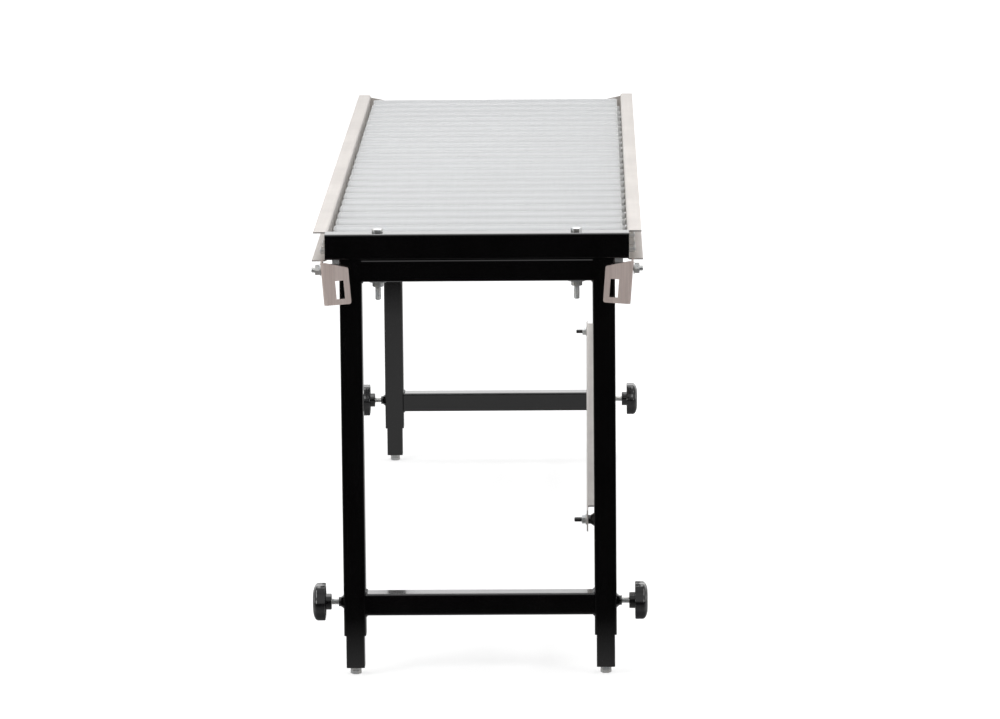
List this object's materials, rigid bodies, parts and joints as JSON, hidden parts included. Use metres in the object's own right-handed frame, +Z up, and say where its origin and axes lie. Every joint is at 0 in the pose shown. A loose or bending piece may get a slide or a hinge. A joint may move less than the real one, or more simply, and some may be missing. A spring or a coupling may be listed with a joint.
{
  "type": "gravity roller conveyor",
  "caption": "Gravity roller conveyor: plastic rollers turning freely between two folded steel side frames, on two welded stands with clamped telescopic legs and a tie bar.",
  "frame": {"origin": "on the floor, below the middle of the bed", "axes": "+Y along the bed from the stop bar at the front to the rear, +X to the right seen from the front, +Z up"},
  "size_m": [0.454, 1.583, 0.6113],
  "materials": {
    "roller": "smooth pale grey plastic",
    "zinc": "bright zinc plate",
    "frame_steel": "galvanised sheet",
    "plate_steel": "bare brushed sheet",
    "black_paint": "semi-gloss black paint",
    "knob": "glossy black plastic"
  },
  "bodies": {
    "frame": {"roller_axles": "zinc", "frame_screws": "zinc", "coupling_studs": "zinc", "through_bolts": "zinc", "washers": "zinc", "hex_nuts": "zinc", "stop_bar": "black_paint", "rear_tie": "black_paint", "front_stand": "black_paint", "rear_stand": "black_paint", "side_frame_left": "frame_steel", "side_frame_right": "frame_steel", "tie_bar": "frame_steel", "coupling_plate_front_left": "plate_steel", "coupling_plate_front_right": "plate_steel", "coupling_plate_rear_left": "plate_steel", "coupling_plate_rear_right": "plate_steel"},
    "roller_01": {"roller_01": "roller"},
    "roller_02": {"roller_02": "roller"},
    "roller_03": {"roller_03": "roller"},
    "roller_04": {"roller_04": "roller"},
    "roller_05": {"roller_05": "roller"},
    "roller_06": {"roller_06": "roller"},
    "roller_07": {"roller_07": "roller"},
    "roller_08": {"roller_08": "roller"},
    "roller_09": {"roller_09": "roller"},
    "roller_10": {"roller_10": "roller"},
    "roller_11": {"roller_11": "roller"},
    "roller_12": {"roller_12": "roller"},
    "roller_13": {"roller_13": "roller"},
    "roller_14": {"roller_14": "roller"},
    "roller_15": {"roller_15": "roller"},
    "roller_16": {"roller_16": "roller"},
    "roller_17": {"roller_17": "roller"},
    "roller_18": {"roller_18": "roller"},
    "roller_19": {"roller_19": "roller"},
    "roller_20": {"roller_20": "roller"},
    "roller_21": {"roller_21": "roller"},
    "roller_22": {"roller_22": "roller"},
    "roller_23": {"roller_23": "roller"},
    "roller_24": {"roller_24": "roller"},
    "inner_leg_front_left": {"inner_leg_front_left": "black_paint"},
    "foot_front_left": {"foot_front_left": "zinc"},
    "knob_front_left": {"knob_front_left": "knob", "knob_stud_front_left": "zinc"},
    "inner_leg_front_right": {"inner_leg_front_right": "black_paint"},
    "foot_front_right": {"foot_front_right": "zinc"},
    "knob_front_right": {"knob_front_right": "knob", "knob_stud_front_right": "zinc"},
    "inner_leg_rear_left": {"inner_leg_rear_left": "black_paint"},
    "foot_rear_left": {"foot_rear_left": "zinc"},
    "knob_rear_left": {"knob_rear_left": "knob", "knob_stud_rear_left": "zinc"},
    "inner_leg_rear_right": {"inner_leg_rear_right": "black_paint"},
    "foot_rear_right": {"foot_rear_right": "zinc"},
    "knob_rear_right": {"knob_rear_right": "knob", "knob_stud_rear_right": "zinc"}
  },
  "joints": [
    {"name": "roller_01_spin", "type": "hinge", "parent": "frame", "child": "roller_01", "pos_m": [0, -0.71875, 0.575], "axis": [1, 0, 0], "continuous": true},
    {"name": "roller_02_spin", "type": "hinge", "parent": "frame", "child": "roller_02", "pos_m": [0, -0.65625, 0.575], "axis": [1, 0, 0], "continuous": true},
    {"name": "roller_03_spin", "type": "hinge", "parent": "frame", "child": "roller_03", "pos_m": [0, -0.59375, 0.575], "axis": [1, 0, 0], "continuous": true},
    {"name": "roller_04_spin", "type": "hinge", "parent": "frame", "child": "roller_04", "pos_m": [0, -0.53125, 0.575], "axis": [1, 0, 0], "continuous": true},
    {"name": "roller_05_spin", "type": "hinge", "parent": "frame", "child": "roller_05", "pos_m": [0, -0.46875, 0.575], "axis": [1, 0, 0], "continuous": true},
    {"name": "roller_06_spin", "type": "hinge", "parent": "frame", "child": "roller_06", "pos_m": [0, -0.40625, 0.575], "axis": [1, 0, 0], "continuous": true},
    {"name": "roller_07_spin", "type": "hinge", "parent": "frame", "child": "roller_07", "pos_m": [0, -0.34375, 0.575], "axis": [1, 0, 0], "continuous": true},
    {"name": "roller_08_spin", "type": "hinge", "parent": "frame", "child": "roller_08", "pos_m": [0, -0.28125, 0.575], "axis": [1, 0, 0], "continuous": true},
    {"name": "roller_09_spin", "type": "hinge", "parent": "frame", "child": "roller_09", "pos_m": [0, -0.21875, 0.575], "axis": [1, 0, 0], "continuous": true},
    {"name": "roller_10_spin", "type": "hinge", "parent": "frame", "child": "roller_10", "pos_m": [0, -0.15625, 0.575], "axis": [1, 0, 0], "continuous": true},
    {"name": "roller_11_spin", "type": "hinge", "parent": "frame", "child": "roller_11", "pos_m": [0, -0.09375, 0.575], "axis": [1, 0, 0], "continuous": true},
    {"name": "roller_12_spin", "type": "hinge", "parent": "frame", "child": "roller_12", "pos_m": [0, -0.03125, 0.575], "axis": [1, 0, 0], "continuous": true},
    {"name": "roller_13_spin", "type": "hinge", "parent": "frame", "child": "roller_13", "pos_m": [0, 0.03125, 0.575], "axis": [1, 0, 0], "continuous": true},
    {"name": "roller_14_spin", "type": "hinge", "parent": "frame", "child": "roller_14", "pos_m": [0, 0.09375, 0.575], "axis": [1, 0, 0], "continuous": true},
    {"name": "roller_15_spin", "type": "hinge", "parent": "frame", "child": "roller_15", "pos_m": [0, 0.15625, 0.575], "axis": [1, 0, 0], "continuous": true},
    {"name": "roller_16_spin", "type": "hinge", "parent": "frame", "child": "roller_16", "pos_m": [0, 0.21875, 0.575], "axis": [1, 0, 0], "continuous": true},
    {"name": "roller_17_spin", "type": "hinge", "parent": "frame", "child": "roller_17", "pos_m": [0, 0.28125, 0.575], "axis": [1, 0, 0], "continuous": true},
    {"name": "roller_18_spin", "type": "hinge", "parent": "frame", "child": "roller_18", "pos_m": [0, 0.34375, 0.575], "axis": [1, 0, 0], "continuous": true},
    {"name": "roller_19_spin", "type": "hinge", "parent": "frame", "child": "roller_19", "pos_m": [0, 0.40625, 0.575], "axis": [1, 0, 0], "continuous": true},
    {"name": "roller_20_spin", "type": "hinge", "parent": "frame", "child": "roller_20", "pos_m": [0, 0.46875, 0.575], "axis": [1, 0, 0], "continuous": true},
    {"name": "roller_21_spin", "type": "hinge", "parent": "frame", "child": "roller_21", "pos_m": [0, 0.53125, 0.575], "axis": [1, 0, 0], "continuous": true},
    {"name": "roller_22_spin", "type": "hinge", "parent": "frame", "child": "roller_22", "pos_m": [0, 0.59375, 0.575], "axis": [1, 0, 0], "continuous": true},
    {"name": "roller_23_spin", "type": "hinge", "parent": "frame", "child": "roller_23", "pos_m": [0, 0.65625, 0.575], "axis": [1, 0, 0], "continuous": true},
    {"name": "roller_24_spin", "type": "hinge", "parent": "frame", "child": "roller_24", "pos_m": [0, 0.71875, 0.575], "axis": [1, 0, 0], "continuous": true},
    {"name": "inner_leg_front_left_slide", "type": "slide", "parent": "frame", "child": "inner_leg_front_left", "axis": [0, 0, -1], "range_m": [-0.03, 0.22]},
    {"name": "foot_front_left_screw", "type": "slide", "parent": "inner_leg_front_left", "child": "foot_front_left", "axis": [0, 0, -1], "range_m": [0, 0.015]},
    {"name": "knob_front_left_turn", "type": "hinge", "parent": "frame", "child": "knob_front_left", "pos_m": [-0.215, -0.765, 0.1], "axis": [-1, 0, 0], "range_deg": [0, 720]},
    {"name": "inner_leg_front_right_slide", "type": "slide", "parent": "frame", "child": "inner_leg_front_right", "axis": [0, 0, -1], "range_m": [-0.03, 0.22]},
    {"name": "foot_front_right_screw", "type": "slide", "parent": "inner_leg_front_right", "child": "foot_front_right", "axis": [0, 0, -1], "range_m": [0, 0.015]},
    {"name": "knob_front_right_turn", "type": "hinge", "parent": "frame", "child": "knob_front_right", "pos_m": [0.215, -0.765, 0.1], "axis": [1, 0, 0], "range_deg": [0, 720]},
    {"name": "inner_leg_rear_left_slide", "type": "slide", "parent": "frame", "child": "inner_leg_rear_left", "axis": [0, 0, -1], "range_m": [-0.03, 0.22]},
    {"name": "foot_rear_left_screw", "type": "slide", "parent": "inner_leg_rear_left", "child": "foot_rear_left", "axis": [0, 0, -1], "range_m": [0, 0.015]},
    {"name": "knob_rear_left_turn", "type": "hinge", "parent": "frame", "child": "knob_rear_left", "pos_m": [-0.215, 0.765, 0.1], "axis": [-1, 0, 0], "range_deg": [0, 720]},
    {"name": "inner_leg_rear_right_slide", "type": "slide", "parent": "frame", "child": "inner_leg_rear_right", "axis": [0, 0, -1], "range_m": [-0.03, 0.22]},
    {"name": "foot_rear_right_screw", "type": "slide", "parent": "inner_leg_rear_right", "child": "foot_rear_right", "axis": [0, 0, -1], "range_m": [0, 0.015]},
    {"name": "knob_rear_right_turn", "type": "hinge", "parent": "frame", "child": "knob_rear_right", "pos_m": [0.215, 0.765, 0.1], "axis": [1, 0, 0], "range_deg": [0, 720]}
  ]
}
